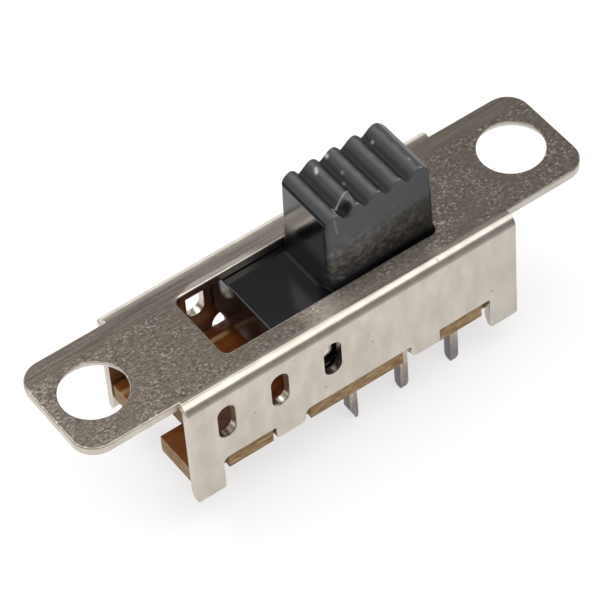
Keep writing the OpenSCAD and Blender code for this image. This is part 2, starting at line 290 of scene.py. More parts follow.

# Far strip of the plate: rubbed smooth and streaked lengthways, with a painted highlight beside the window and
# painted light that grows towards the knob, both fading past its right end.
streak = add(tree, "ShaderNodeTexNoise", {"Vector": millimetres(tree, (0.35, 7.0, 7.0)), "Scale": 1.0,
                                          "Detail": 3.0})
streak = add(tree, "ShaderNodeMapRange", {"Value": streak, "From Min": 0.35, "From Max": 0.65})
far_strip_tone = add(tree, "ShaderNodeMix", {"Factor": streak, "A": linear("#887d73"), "B": linear("#a79c91")},
                  data_type="RGBA")
band_edge = add(tree, "ShaderNodeMapRange", {"Value": along, "From Min": -6.2, "From Max": -4.8,
                                             "To Min": 2.15, "To Max": 2.50})
inside_band = add(tree, "ShaderNodeMath", {0: band_edge, 1: across}, operation="SUBTRACT")
painted_highlight_band = add(tree, "ShaderNodeMapRange", {"Value": inside_band, "From Min": -0.08, "From Max": 0.06})
beside_knob = add(tree, "ShaderNodeMapRange", {"Value": along, "From Min": -1.9, "From Max": -0.9,
                                               "To Min": 1.0, "To Max": 0.35})
painted_highlight_band = add(tree, "ShaderNodeMath", {0: painted_highlight_band, 1: beside_knob}, operation="MULTIPLY")
beside_window = add(tree, "ShaderNodeMapRange", {"Value": along, "From Min": -6.4, "From Max": -5.8})
painted_highlight_band = add(tree, "ShaderNodeMath", {0: painted_highlight_band, 1: beside_window}, operation="MULTIPLY")
streaky = add(tree, "ShaderNodeMapRange", {"Value": streak, "To Min": 0.45, "To Max": 0.85})
painted_highlight_band = add(tree, "ShaderNodeMath", {0: painted_highlight_band, 1: streaky}, operation="MULTIPLY")
painted_light_ramp = add(tree, "ShaderNodeMapRange", {"Value": along, "From Min": -7.0, "From Max": 0.0,
                                               "To Max": 0.22})
highlight_fade_right = add(tree, "ShaderNodeMapRange", {"Value": along, "From Min": 6.0, "From Max": 7.5, "To Min": 1.0,
                                            "To Max": 0.2})
painted_highlight_band = add(tree, "ShaderNodeMath", {0: painted_highlight_band, 1: painted_light_ramp}, operation="MAXIMUM")
painted_highlight_band = add(tree, "ShaderNodeMath", {0: painted_highlight_band, 1: highlight_fade_right}, operation="MULTIPLY")
far_strip_tone = add(tree, "ShaderNodeMix", {"Factor": painted_highlight_band, "A": far_strip_tone, "B": linear("#fff6ea")},
                  data_type="RGBA")
plate_tone = add(tree, "ShaderNodeMix", {"Factor": rubbed, "A": plate_tone, "B": far_strip_tone},
                 data_type="RGBA")

# A painted dark band low on each fold widens the dark reflection that the fold shows there.
painted_fold_shade = add(tree, "ShaderNodeMapRange", {"Value": height, "From Min": -0.56, "From Max": -0.40})
fold_shade_top = add(tree, "ShaderNodeMapRange", {"Value": height, "From Min": -0.32, "From Max": -0.24,
                                             "To Min": 0.62, "To Max": 0.0})
painted_fold_shade = add(tree, "ShaderNodeMath", {0: painted_fold_shade, 1: fold_shade_top}, operation="MULTIPLY")
on_fold = add(tree, "ShaderNodeMath", {0: off_centre, 1: 3.2}, operation="GREATER_THAN")
painted_fold_shade = add(tree, "ShaderNodeMath", {0: painted_fold_shade, 1: on_fold}, operation="MULTIPLY")
wall_tone = add(tree, "ShaderNodeMix", {"Factor": painted_fold_shade, "A": wall_tone, "B": linear("#5e5850")},
                data_type="RGBA")

# Near strip of the plate: fingers on the knob have rubbed it dull, and painted light makes it pale.
near_strip = add(tree, "ShaderNodeMapRange", {"Value": across, "From Min": -1.8, "From Max": -2.0})
from_end = add(tree, "ShaderNodeMapRange", {"Value": along, "From Min": -2.4, "From Max": -1.2})
to_end = add(tree, "ShaderNodeMapRange", {"Value": along, "From Min": 5.9, "From Max": 5.3})
rubbed_lit_strip = add(tree, "ShaderNodeMath", {0: near_strip, 1: from_end}, operation="MULTIPLY")
rubbed_lit_strip = add(tree, "ShaderNodeMath", {0: rubbed_lit_strip, 1: to_end}, operation="MULTIPLY")
painted_sheen_share = add(tree, "ShaderNodeMapRange", {"Value": across, "From Min": -2.9, "From Max": -2.2,
                                             "To Min": 0.12, "To Max": 0.08})
painted_sheen_share = add(tree, "ShaderNodeMath", {0: rubbed_lit_strip, 1: painted_sheen_share}, operation="MULTIPLY")
plate_tone = add(tree, "ShaderNodeMix", {"Factor": painted_sheen_share, "A": plate_tone, "B": linear("#fff6ea")},
                 data_type="RGBA")

# Finish: the rims that the punch has cut are rougher than the plate.
metal = add(tree, "ShaderNodeMix", {"Factor": on_plate, "A": wall_tone, "B": plate_tone}, data_type="RGBA")
rough = add(tree, "ShaderNodeMapRange", {"Value": on_plate, "To Min": 0.30, "To Max": 0.27})
dull_rub = add(tree, "ShaderNodeMath", {0: rubbed_lit_strip, 1: on_plate}, operation="MULTIPLY")
rough = add(tree, "ShaderNodeMath", {0: dull_rub, 1: 0.2, 2: rough}, operation="MULTIPLY_ADD")
cut_rim = add(tree, "ShaderNodeMapRange", {"Value": height, "From Min": -0.08, "From Max": -0.01})
cut_rim = add(tree, "ShaderNodeMath", {0: cut_rim, 1: off_fold}, operation="MULTIPLY")
cut_rim = add(tree, "ShaderNodeMath", {0: cut_rim, 1: on_plate}, operation="SUBTRACT")
rough = add(tree, "ShaderNodeMath", {0: cut_rim, 1: 0.5, 2: rough}, operation="MULTIPLY_ADD")

# Each crystal leans its own way.
lean = add(tree, "ShaderNodeVectorMath", {0: crystals.outputs["Color"], 1: (0.5, 0.5, 0.5)},
           operation="SUBTRACT")
tilt = add(tree, "ShaderNodeMath", {0: lively, 1: 0.09}, operation="MULTIPLY")
lean = add(tree, "ShaderNodeVectorMath", {0: lean, "Scale": tilt}, operation="SCALE")
flat = add(tree, "ShaderNodeNewGeometry").outputs["Normal"]
leaning = add(tree, "ShaderNodeVectorMath", {0: flat, 1: lean}, operation="ADD")
leaning = add(tree, "ShaderNodeVectorMath", {0: leaning}, operation="NORMALIZE")
depth = add(tree, "ShaderNodeMapRange", {"Value": on_plate, "To Min": 0.05, "To Max": 0.25})
bump = add(tree, "ShaderNodeBump", {"Height": grain, "Strength": depth, "Distance": 0.04 * MM,
                                    "Normal": leaning})
steel = add(tree, "ShaderNodeBsdfPrincipled", {"Base Color": metal, "Metallic": 1.0, "Roughness": rough,
                                               "Normal": bump})
tree.links.new(steel.outputs[0], surface)

# The punch has broken out of the screw holes' lower rims, and both of the window's long rims stand a little
# further back than the CAD's.
frame_mesh = merged_copy("frame")
hole_x, hole_r, break_out = 12, 1.65, 0.2
window_reach, near_shift, far_shift = np.array([6.3, 2.3, 0.5]), 0.08, 0.04
places = np.empty(len(frame_mesh.vertices) * 3, np.float32)
frame_mesh.vertices.foreach_get("co", places)
places = places.reshape(-1, 3)
from_hole = places[:, :2] - np.stack([np.sign(places[:, 0]) * hole_x * MM, 0 * places[:, 0]], -1)
reach = np.linalg.norm(from_hole, axis=1, keepdims=True)
torn_rim = (reach[:, 0] < (hole_r + 0.05) * MM) & (places[:, 2] < -0.4 * MM)
places[torn_rim, :2] += (from_hole / reach)[torn_rim] * break_out * MM
window_rim = (np.abs(places) < window_reach * MM).all(axis=1)
places[window_rim, 1] += np.where(places[window_rim, 1] < 0, near_shift, far_shift) * MM
frame_mesh.vertices.foreach_set("co", places.ravel())
frame_piece = new_piece("folded_frame", frame_mesh, zinc_plate, "frame")

# Punching rounds the upper rims more than the other edges.
rims = np.empty(len(frame_mesh.edges) * 2, np.int32)
frame_mesh.edges.foreach_get("vertices", rims)
ends = places[rims].reshape(-1, 2, 3) / MM
on_rim = (ends[..., 2] > -0.001).all(axis=1) & (np.abs(ends[..., 1]) < 3.1).any(axis=1)
weights = frame_mesh.attributes.new("bevel_weight_edge", "FLOAT", "EDGE")
weights.data.foreach_set("value", on_rim.astype(np.float32))
rim = frame_piece.modifiers.new("punched_rims", "BEVEL")
rim.width = 0.08 * MM
rim.segments = 3
rim.limit_method = "WEIGHT"
rim.use_clamp_overlap = False
soften(frame_piece, 0.05, angle=40)
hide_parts("frame")

# ---------------------------------------------------------------------------------------------------------
# Terminal board: punched from laminated phenolic paper, red-brown and glossy on its faces, with pale fibrous
# layers where the punch has torn its edges. Its lugs and forked ends show between the frame's legs.
# ---------------------------------------------------------------------------------------------------------
board_low, board_high = (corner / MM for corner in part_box("terminal_board"))

# Laminated phenolic paper: brown resin, glossy and mottled red-brown where whole, dull and pale where torn.
# Its torn edges show fibres of about 0.6 mm in layers of 0.15 mm.
phenolic, tree, surface = new_material("laminated_phenolic_paper")
along, across, height = add(tree, "ShaderNodeSeparateXYZ", {0: millimetres(tree)}).outputs
middle = add(tree, "ShaderNodeMath", {0: height, 1: (board_low.z + board_high.z) / 2}, operation="SUBTRACT")
from_middle = add(tree, "ShaderNodeMath", {0: middle}, operation="ABSOLUTE")
half_t = (board_high.z - board_low.z) / 2
on_edge = add(tree, "ShaderNodeMapRange", {"Value": from_middle, "From Min": half_t - 0.05,
                                           "From Max": half_t - 0.01, "To Min": 1.0, "To Max": 0.0})
fibres = add(tree, "ShaderNodeTexNoise", {"Vector": millimetres(tree, (0.8, 1.2, 1.2)), "Scale": 1.0,
                                          "Detail": 5.0, "Roughness": 0.6})
fibres = add(tree, "ShaderNodeMapRange", {"Value": fibres, "From Min": 0.35, "From Max": 0.65})
layers = add(tree, "ShaderNodeTexNoise", {"Vector": millimetres(tree, (1.6, 1.6, 7.0)), "Scale": 1.0,
                                          "Detail": 4.0, "Roughness": 0.6})
face = add(tree, "ShaderNodeMix", {"Factor": fibres, "A": linear("#60261c"), "B": linear("#935524")},
           data_type="RGBA")
torn = add(tree, "ShaderNodeMapRange", {"Value": layers, "From Min": 0.35, "From Max": 0.65})
edge = add(tree, "ShaderNodeMix", {"Factor": torn, "A": linear("#946c43"), "B": linear("#d8b98a")},
           data_type="RGBA")

# Painted light brightens the left end of the face, and a painted patch of the light that falls through a slot
# in the far wall runs along its far side.
painted_light_left_end = add(tree, "ShaderNodeMapRange", {"Value": along, "From Min": -7.4, "From Max": -8.4,
                                            "To Max": 0.33})
face = add(tree, "ShaderNodeMix", {"Factor": painted_light_left_end, "A": face, "B": linear("#d08644")}, data_type="RGBA")
# Painted patch of light along the far side, where light falls through a slot in the far wall.
light_patch_y = add(tree, "ShaderNodeMapRange", {"Value": across, "From Min": 2.30, "From Max": 2.42})
light_patch_x = add(tree, "ShaderNodeMapRange", {"Value": along, "From Min": -3.0, "From Max": -3.3})
light_patch_end = add(tree, "ShaderNodeMapRange", {"Value": across, "From Min": 2.66, "From Max": 2.56})
painted_light_patch = add(tree, "ShaderNodeMath", {0: light_patch_x, 1: light_patch_y}, operation="MULTIPLY")
painted_light_patch = add(tree, "ShaderNodeMath", {0: painted_light_patch, 1: light_patch_end}, operation="MULTIPLY")
face = add(tree, "ShaderNodeMix", {"Factor": painted_light_patch, "A": face, "B": linear("#c79f74")}, data_type="RGBA")
brown = add(tree, "ShaderNodeMix", {"Factor": on_edge, "A": face, "B": edge}, data_type="RGBA")
shine = add(tree, "ShaderNodeMapRange", {"Value": on_edge, "To Min": 0.22, "To Max": 0.70})
bump = add(tree, "ShaderNodeBump", {"Height": layers, "Strength": 0.4, "Distance": 0.05 * MM})
resin = add(tree, "ShaderNodeBsdfPrincipled", {"Base Color": brown, "Roughness": shine, "IOR": 1.55,
                                               "Normal": bump})
tree.links.new(resin.outputs[0], surface)

board = new_piece("phenolic_board", merged_copy("terminal_board"), phenolic, "frame")
soften(board, 0.05, segments=2)
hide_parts("terminal_board")

# ---------------------------------------------------------------------------------------------------------
# Terminals: square pins cut and headed from tinned wire, three in each row, pressed through the board. Their
# heads lie on the board as flat contacts. Cropping has rounded the tips, and torn two of them aslant.
# ---------------------------------------------------------------------------------------------------------
# Tin plate: a soft grey metal, slightly dull. Painted light and a painted reflection of the brown board make
# it lighter and warmer near the board, and painted shade darkens the sides that face along the row.
# The streaks from drawing run along the pin, and are coarser than real ones so that they show.
tin, tree, surface = new_material("tinned_copper_alloy_wire")
drawn = add(tree, "ShaderNodeTexNoise", {"Vector": millimetres(tree, (7.0, 7.0, 1.1)), "Scale": 1.0,
                                         "Detail": 4.0})
drawn = add(tree, "ShaderNodeMapRange", {"Value": drawn, "From Min": 0.3, "From Max": 0.7})
height = add(tree, "ShaderNodeSeparateXYZ", {0: millimetres(tree)}).outputs[2]
# Painted light and a painted reflection of the board: lighter and warmer near the board.
upper = add(tree, "ShaderNodeMapRange", {"Value": height, "From Min": -7.5, "From Max": -6.5})
lower_tone = add(tree, "ShaderNodeMix", {"Factor": drawn, "A": linear("#6e6769"), "B": linear("#9c9493")},
           data_type="RGBA")
painted_lit_warm = add(tree, "ShaderNodeMix", {"Factor": drawn, "A": linear("#998879"), "B": linear("#cdc1b2")},
           data_type="RGBA")
tone = add(tree, "ShaderNodeMix", {"Factor": upper, "A": lower_tone, "B": painted_lit_warm}, data_type="RGBA")
# Painted shade on the sides that face along the row.
facing = add(tree, "ShaderNodeSeparateXYZ", {0: add(tree, "ShaderNodeNewGeometry").outputs["True Normal"]})
facing = add(tree, "ShaderNodeMath", {0: facing}, operation="ABSOLUTE")
painted_side_shade = add(tree, "ShaderNodeMapRange", {"Value": facing, "From Min": 0.5, "From Max": 0.9})
tone = add(tree, "ShaderNodeMix", {"Factor": painted_side_shade, "A": tone, "B": linear("#6a6468")}, data_type="RGBA")
rough = add(tree, "ShaderNodeMapRange", {"Value": drawn, "To Min": 0.26, "To Max": 0.42})
bump = add(tree, "ShaderNodeBump", {"Height": drawn, "Strength": 0.25, "Distance": 0.03 * MM})
plating = add(tree, "ShaderNodeBsdfPrincipled", {"Base Color": tone, "Metallic": 1.0, "Roughness": rough,
                                                 "Normal": bump})
tree.links.new(plating.outputs[0], surface)


def closed(mesh):
    """Merges a mesh's doubles, points its faces outwards and shades it smooth up to its edges."""
    shape = bmesh.new()
    shape.from_mesh(mesh)
    bmesh.ops.remove_doubles(shape, verts=shape.verts, dist=1e-7)
    bmesh.ops.dissolve_degenerate(shape, edges=shape.edges, dist=1e-8)
    bmesh.ops.recalc_face_normals(shape, faces=shape.faces)
    shape.to_mesh(mesh)
    shape.free()
    mesh.shade_smooth()
    mesh.set_sharp_from_angle(angle=math.radians(40))
    return mesh


def outline(half_x, half_y, radius, steps=6):
    """Outline of a rectangle with round corners, as each point's corner centre and its direction from there:
    centre plus radius times direction gives the outline, a quarter turn to each corner."""
    turn = np.linspace(0, math.pi / 2, steps)
    angle = (turn + np.arange(4)[:, None] * math.pi / 2).ravel()
    centres = np.stack([np.repeat([1, -1, -1, 1], steps) * (half_x - radius),
                        np.repeat([1, 1, -1, -1], steps) * (half_y - radius)], -1)
    return centres, np.stack([np.cos(angle), np.sin(angle)], -1)


def rounded_box(name, low, high, radius, steps=6):
    """Box with an eighth of a sphere at each corner: rows go down it from pole to pole, and the corners of
    each row's outline shrink with the cosine of its latitude."""
    low, high = np.array(low), np.array(high)
    half = (high - low) / 2
    turn = np.linspace(0, math.pi / 2, steps)
    latitude = np.concatenate([turn[::-1], -turn])
    centres, directions = outline(half[0], half[1], radius, steps)
    points = np.empty((len(latitude), len(centres), 3))
    points[..., :2] = centres + radius * np.cos(latitude)[:, None, None] * directions
    points[..., 2] = (np.repeat([1, -1], steps) * (half[2] - radius) + radius * np.sin(latitude))[:, None]
    return closed(grid_mesh(name, (low + high) / 2 + points, around=True, caps=True))


# The pins stand pin_shift further towards +X than the CAD's.
pin_w, pin_edge_r, head_t = 0.5, 0.03, 0.4
pin_shift = 0.07


def pin_mesh(name, x, y, top, tip, torn, front):
    """Square bar of rings stacked down to the tip. Over the last round_l its right side and its inner side
    curve in like a quarter ellipse. Over the last tear_l the left side moves right, up to torn, by a power of
    the depth, so that the tip ends aslant."""
    round_l, tear_l = 0.30, 0.75
    right_inset, inner_inset = 0.2 - 0.3 * torn, 0.22
    depth = np.concatenate([np.linspace(top, tip + 1.0, 4), np.linspace(tip + 1.0, tip + round_l, 14)[1:],
                            tip + round_l * (1 - np.sin(np.linspace(0, math.pi / 2, 16)[1:]))])
    bend = np.clip((tip + round_l - depth) / round_l, 0, 1)
    inset = 1 - np.sqrt(1 - bend ** 2)
    tear = np.clip((tip + tear_l - depth) / tear_l, 0, 1) ** 0.75 * torn
    left = -pin_w / 2 + tear
    right = pin_w / 2 - inset * right_inset
    shrink = 1 - inset * inner_inset / pin_w
    centres, directions = outline(pin_w / 2, pin_w / 2, pin_edge_r, 4)
    ring = centres + pin_edge_r * directions
    points = np.empty((len(depth), len(ring), 3))
    points[..., 0] = x + ((left + right) / 2)[:, None] + ring[:, 0] * ((right - left) / pin_w)[:, None]
    points[..., 1] = y - front * pin_w / 2 + (ring[:, 1] + front * pin_w / 2) * shrink[:, None]
    points[..., 2] = depth[:, None]
    return closed(grid_mesh(name, points, around=True, caps=True))


# How far each tip is cropped short, and how far its left side is torn over.
pin_tips = {"front_terminal_1": (0.05, 0.33), "front_terminal_2": (0.20, 0.0), "front_terminal_3": (0, 0),
            "back_terminal_1": (0, 0), "back_terminal_2": (0.12, 0.12), "back_terminal_3": (0.06, 0)}
for node, (short, torn) in pin_tips.items():
    low, high = (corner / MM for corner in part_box(node))
    front = 1 if node.startswith("front") else -1
    pin_y = low.y + pin_w / 2 if front == 1 else high.y - pin_w / 2
    pin = pin_mesh(node, (low.x + high.x) / 2 + pin_shift, pin_y, high.z - head_t / 2, low.z + short, torn,
                   front)
    head = rounded_box("head", (low.x, low.y, high.z - head_t), high, 0.06)
    both = bmesh.new()
    both.from_mesh(pin)
    both.from_mesh(head)
    both.to_mesh(pin)
    both.free()
    terminal = new_piece(node.replace("terminal", "pin"), pin, tin, "frame")
    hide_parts(node)

# ---------------------------------------------------------------------------------------------------------
# Slider: slide block and finger knob, moulded in one from black ABS. Five ridges that lean to one side cross
# the knob. Handling has scuffed its front face, torn a flap from one ridge, nicked two others and worn back
# the foot of its front left corner.
# ---------------------------------------------------------------------------------------------------------
slider_low, slider_high = (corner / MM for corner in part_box("slider"))
knob_x = (slider_low.x + slider_high.x) / 2
knob_l, knob_w, knob_r = 5.95, 3.6, 0.25
knob_top = slider_high.z
ridges, ridge_h = 5, 0.46
ridge_peak, ridge_lead = 0.6, 0.12
draft = 0.018
worn_foot = 0.3
block_top = -0.53
knob_foot = block_top - 0.6


def ridge_share(x):
    """Which ridge a place along the knob lies on, and the share of that ridge that is passed."""
    place = (x / knob_l + 0.5) * ridges + ridge_lead
    ridge = np.minimum(np.floor(place), ridges - 1)
    return ridge, place - ridge


def ridge_height(x):
    """Height of the ridges at a place along the knob: half a sine wave over a power of the share of the ridge
    that is passed, which puts the crest at ridge_peak. The last ridge is drawn out to the knob's end."""
    ridge, share = ridge_share(x)
    drawn_out = ridge_peak + (share - ridge_peak) * (1 - ridge_peak) / (1 + ridge_lead - ridge_peak)
    share = np.where((ridge == ridges - 1) & (share > ridge_peak), drawn_out, share)
    return knob_top - ridge_h + ridge_h * np.sin(math.pi * np.clip(share, 0, 1)
                                                 ** (math.log(0.5) / math.log(ridge_peak)))


def knob_points():
    """Sections across the knob, stood side by side along the travel. Each goes up one side, round a small
    fillet, across the ridge's top and down again. A quarter circle narrows the sections at both ends, and the
    end faces are sections of one place that narrow down to a line."""
    fillet = 0.05
    turn = np.linspace(0, math.pi / 2, 9)
    arc = knob_l / 2 - knob_r + knob_r * np.sin(turn)
    x = np.concatenate([-arc[::-1], np.linspace(-knob_l / 2 + knob_r, knob_l / 2 - knob_r, 230)[1:-1], arc])
    closing = np.linspace(1, 0, 16)[1:]
    narrowed = np.concatenate([closing[::-1], 1 + 0 * x, closing])
    x = np.concatenate([x[0] + 0 * closing, x, x[-1] + 0 * closing])
    over = np.clip(np.abs(x) - (knob_l / 2 - knob_r), 0, knob_r)
    half = knob_w / 2 - knob_r + np.sqrt(knob_r ** 2 - over ** 2)
    end = np.clip(fillet - (knob_l / 2 - np.abs(x)), 0, fillet)
    top = ridge_height(x) - fillet + np.sqrt(fillet ** 2 - end ** 2)
    side = np.linspace(0, 1, 60)
    bend = np.linspace(0, math.pi / 2, 7)[1:]
    across = np.linspace(-1, 1, 90)[1:-1]
    rise = np.concatenate([side, np.ones(len(bend) * 2 + len(across)), side[::-1]])
    tuck = np.concatenate([0 * side, 1 - np.cos(bend), 1 + 0 * across, 1 - np.cos(bend[::-1]), 0 * side])
    lift = np.concatenate([0 * side, np.sin(bend), 1 + 0 * across, np.sin(bend[::-1]), 0 * side])
    share = np.concatenate([-1 + 0 * side, -1 + 0 * bend, across, 1 + 0 * bend, 1 + 0 * side])
    points = np.empty((len(x), len(rise), 3))
    points[..., 2] = knob_foot + rise * (top[:, None] - fillet - knob_foot) + fillet * lift
    taper = draft * (knob_top - points[..., 2])
    points[..., 0] = knob_x + x[:, None] * (1 + taper / (knob_l / 2))
    points[..., 1] = narrowed[:, None] * share * (half[:, None] - fillet * tuck + taper)
    return points


# Place, radius and depth of each dent: under the torn flap, at two nicks, and three soft ones from wear.
dents = (((1.30, -1.50, 4.35), 0.36, 0.09), ((1.62, 1.12, 4.5), 0.10, 0.03), ((2.61, 1.70, 4.2), 0.10, 0.03),
         ((3.9, -1.8, 1.6), 0.5, 0.012), ((1.0, -1.8, 3.4), 0.25, 0.02), ((4.2, 0.4, 4.4), 0.2, 0.02))


def dented(points):
    """Pushes a grid of points inwards along its own normals, by a bell curve round each dent. Then moves the
    front left corner's foot to the right, by up to worn_foot, less upwards, to the right and to the back."""
    along, across = np.gradient(points, axis=0), np.gradient(points, axis=1)
    normal = np.cross(across, along)
    normal /= np.maximum(np.linalg.norm(normal, axis=-1, keepdims=True), 1e-9)
    for centre, radius, depth in dents:
        away = np.linalg.norm(points - np.array(centre), axis=-1, keepdims=True)
        points = points + normal * depth * np.exp(-(away / radius) ** 4)
    foot = np.clip((1.3 - points[..., 2]) / 1.9, 0, 1) ** 2
    to_left = np.clip((0.9 - points[..., 0]) / 0.9, 0, 1)
    to_front = np.clip((-0.7 - points[..., 1]) / 1.0, 0, 1)
    points[..., 0] += worn_foot * foot * to_left * to_front ** 2 * (3 - 2 * to_front)
    return points


def cutter(name, mesh):
    """A mesh as an object of its own, for carved to use up."""
    made = bpy.data.objects.new(name, mesh)
    scene.collection.objects.link(made)
    return made


def carved(body, tools):
    """The body's mesh after each tool, (object, operation), has been joined to it or cut from it."""
    for tool, operation in tools:
        step = body.modifiers.new(tool.name, "BOOLEAN")
        step.object = tool
        step.operation = operation
        step.solver = "EXACT"
    bpy.context.view_layer.update()
    mesh = bpy.data.meshes.new_from_object(body.evaluated_get(bpy.context.evaluated_depsgraph_get()))
    for made in [body] + [tool for tool, _ in tools]:
        bpy.data.objects.remove(made)
    return mesh


# The block has a cross bore for the balls and their spring, and a pocket below for each contact strip.
ball_low, ball_high = (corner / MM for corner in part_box("front_ball"))
ball_gap = 0.05
bore_r = (ball_high.z - ball_low.z) / 2 + ball_gap
turn = np.linspace(0, 2 * math.pi, 96, endpoint=False)
bore = np.empty((2, len(turn), 3))
bore[..., 0] = (ball_low.x + ball_high.x) / 2 + bore_r * np.cos(turn)
bore[..., 1] = np.array([[-4], [4]])
bore[..., 2] = (ball_low.z + ball_high.z) / 2 + bore_r * np.sin(turn)
tools = [(cutter("knob", closed(grid_mesh("knob", dented(knob_points()), around=True))), "UNION"),
         (cutter("bore", closed(grid_mesh("bore", bore, around=True, caps=True))), "DIFFERENCE")]
pocket_gap = 0.05
for side in ("front", "back"):
    low, high = (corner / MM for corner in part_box(f"{side}_contact_strip"))
    pocket = rounded_box(f"{side}_pocket", (low.x - pocket_gap, low.y - pocket_gap, slider_low.z - 1),
                         (high.x + pocket_gap, high.y + pocket_gap, slider_low.z + 0.1), 0.03, 3)
    tools.append((cutter(f"{side}_pocket", pocket), "DIFFERENCE"))

block_edge_r = 0.06
block = rounded_box("slide_block", slider_low, (slider_high.x, slider_high.y, block_top), block_edge_r)
slider_mesh = carved(cutter("slide_block", block), tools)
slider_mesh.shade_smooth()
slider_mesh.set_sharp_from_angle(angle=math.radians(35))

# Moulded ABS: black, semi-gloss, with a fine spark texture. Handling has left the knob greyer than the block,
# with pale nicks and scratches, and dust has settled as beige mottling on its front face. Painted shade holds
# the grey back in the ridges' valleys and low on the long faces, and painted highlights run along the crests,
# at their ends and over the top of the front face. Its foot and its valleys, which fingers don't reach, are
# dull.
abs_plastic, tree, surface = new_material("moulded_black_abs")
place = millimetres(tree)
spark = add(tree, "ShaderNodeTexNoise", {"Vector": place, "Scale": 8.0, "Detail": 3.0})
cloud = add(tree, "ShaderNodeTexNoise", {"Vector": place, "Scale": 0.8, "Detail": 4.0})
clean = add(tree, "ShaderNodeMix", {"Factor": cloud, "A": linear("#0a0a0d"), "B": linear("#101014")},
            data_type="RGBA")
handled = add(tree, "ShaderNodeMix", {"Factor": cloud, "A": linear("#313134"), "B": linear("#3e3e42")},
              data_type="RGBA")
handling_and_light = add(tree, "ShaderNodeAttribute", attribute_name="handling_and_light").outputs["Fac"]
tone = add(tree, "ShaderNodeMix", {"Factor": handling_and_light, "A": clean, "B": handled}, data_type="RGBA")
grime = add(tree, "ShaderNodeAttribute", attribute_name="grime").outputs["Fac"]
dust = add(tree, "ShaderNodeTexNoise", {"Vector": place, "Scale": 2.6, "Detail": 5.0, "Roughness": 0.7})
dust = add(tree, "ShaderNodeMapRange", {"Value": dust, "From Min": 0.46, "From Max": 0.72})
dusty = add(tree, "ShaderNodeMath", {0: grime, 1: dust}, operation="MULTIPLY")
tone = add(tree, "ShaderNodeMix", {"Factor": dusty, "A": tone, "B": linear("#857f72")}, data_type="RGBA")
chip = add(tree, "ShaderNodeAttribute", attribute_name="chip").outputs["Fac"]
tone = add(tree, "ShaderNodeMix", {"Factor": chip, "A": tone, "B": linear("#0c0c0d")}, data_type="RGBA")
scratches_and_highlights = add(tree, "ShaderNodeAttribute", attribute_name="scratches_and_highlights").outputs["Fac"]
tone = add(tree, "ShaderNodeMix", {"Factor": scratches_and_highlights, "A": tone, "B": linear("#c4c2c2")}, data_type="RGBA")
dulled = add(tree, "ShaderNodeMath", {0: handling_and_light, 1: grime}, operation="MAXIMUM")
matte = add(tree, "ShaderNodeAttribute", attribute_name="matte").outputs["Fac"]
height = add(tree, "ShaderNodeSeparateXYZ", {0: place}).outputs[2]
foot = add(tree, "ShaderNodeMapRange", {"Value": height, "From Min": 2.1, "From Max": 1.1})
above_block = add(tree, "ShaderNodeMapRange", {"Value": height, "From Min": -0.50, "From Max": -0.30,
                                               "To Max": 0.85})
foot = add(tree, "ShaderNodeMath", {0: foot, 1: above_block}, operation="MULTIPLY")
matte = add(tree, "ShaderNodeMath", {0: matte, 1: foot}, operation="MAXIMUM")
dulled = add(tree, "ShaderNodeMath", {0: dulled, 1: matte}, operation="MAXIMUM")
rough = add(tree, "ShaderNodeMapRange", {"Value": dulled, "To Min": 0.14, "To Max": 0.46})
gloss = add(tree, "ShaderNodeMapRange", {"Value": matte, "To Min": 0.5, "To Max": 0.12})
bump = add(tree, "ShaderNodeBump", {"Height": spark, "Strength": 0.12, "Distance": 0.03 * MM})
plastic = add(tree, "ShaderNodeBsdfPrincipled", {"Base Color": tone, "Roughness": rough, "IOR": 1.54,
                                                 "Specular IOR Level": gloss, "Normal": bump})
tree.links.new(plastic.outputs[0], surface)

slider = new_piece("knob_and_block", slider_mesh, abs_plastic, "slider")
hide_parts("slider")


def near_segment(points, a, b):
    """Distance from each point to the line between a and b."""
    a, b = np.array(a), np.array(b)
    share = np.clip(((points - a) @ (b - a)) / ((b - a) @ (b - a)), 0, 1)
    return np.linalg.norm(points - a - share[:, None] * (b - a), axis=1)


# How much grey from handling each place gets, less where painted shade falls; how scratched it is, with
# painted highlights in the same layer; how grimy, chipped and matte it is, for the material.
places = np.empty(len(slider_mesh.vertices) * 3, np.float32)
slider_mesh.vertices.foreach_get("co", places)
places = places.reshape(-1, 3) / MM
x, y, z = places.T
below_ridges, side_y = 3.95, 1.79
on_top = z > below_ridges
on_front = (y < -1.6) & (z > 0) & ~(on_top & (y > 0.01 - side_y))
ridge, share = ridge_share(x - knob_x)
on_ridges = on_top * (np.abs(y) < side_y) * (x > knob_x - knob_l / 2 + 0.1)
in_valley = np.maximum((ridge < ridges - 1) * np.clip((share - 0.66) / 0.06, 0, 1),
                       (ridge > 0) * np.clip((0.26 - share) / 0.12, 0, 1))
in_valley = on_ridges * in_valley
# Grey from handling rises from each valley to the crest: the dark valleys and lower flanks are painted shade
# as well as less handled.
handling_and_light = on_ridges * np.clip((share - 0.04) / 0.26, 0, 0.9) * (1 - in_valley) + 0.6 * in_valley
# The long faces get less grey lower down and at their lower right, so they are darker there.
right_low = np.clip((x - 2) / 2.5, 0, 1) * np.clip((3.2 - z) / 1.0, 0, 1)
low_fade = np.clip((z + 0.8 - 1.4 * np.clip((x - 1) / 3, 0, 1)) / 2.4, 0, 1)
handling_and_light = np.maximum(handling_and_light, (np.abs(y) > 1.7) * (z > -0.3) * low_fade * (1 - 0.8 * right_low))
# A painted highlight runs along each crest, and a second one near the knob's right end.
along_crests = np.exp(-((share - 0.59) / 0.045) ** 2)
scratch_and_highlight = on_ridges * 0.13 * (0.7 + 0.3 * np.sin(6.3 * y + 2 * ridge)) * along_crests
scratch_and_highlight += on_ridges * 0.16 * np.exp(-((x - 5.70) / 0.07) ** 2)

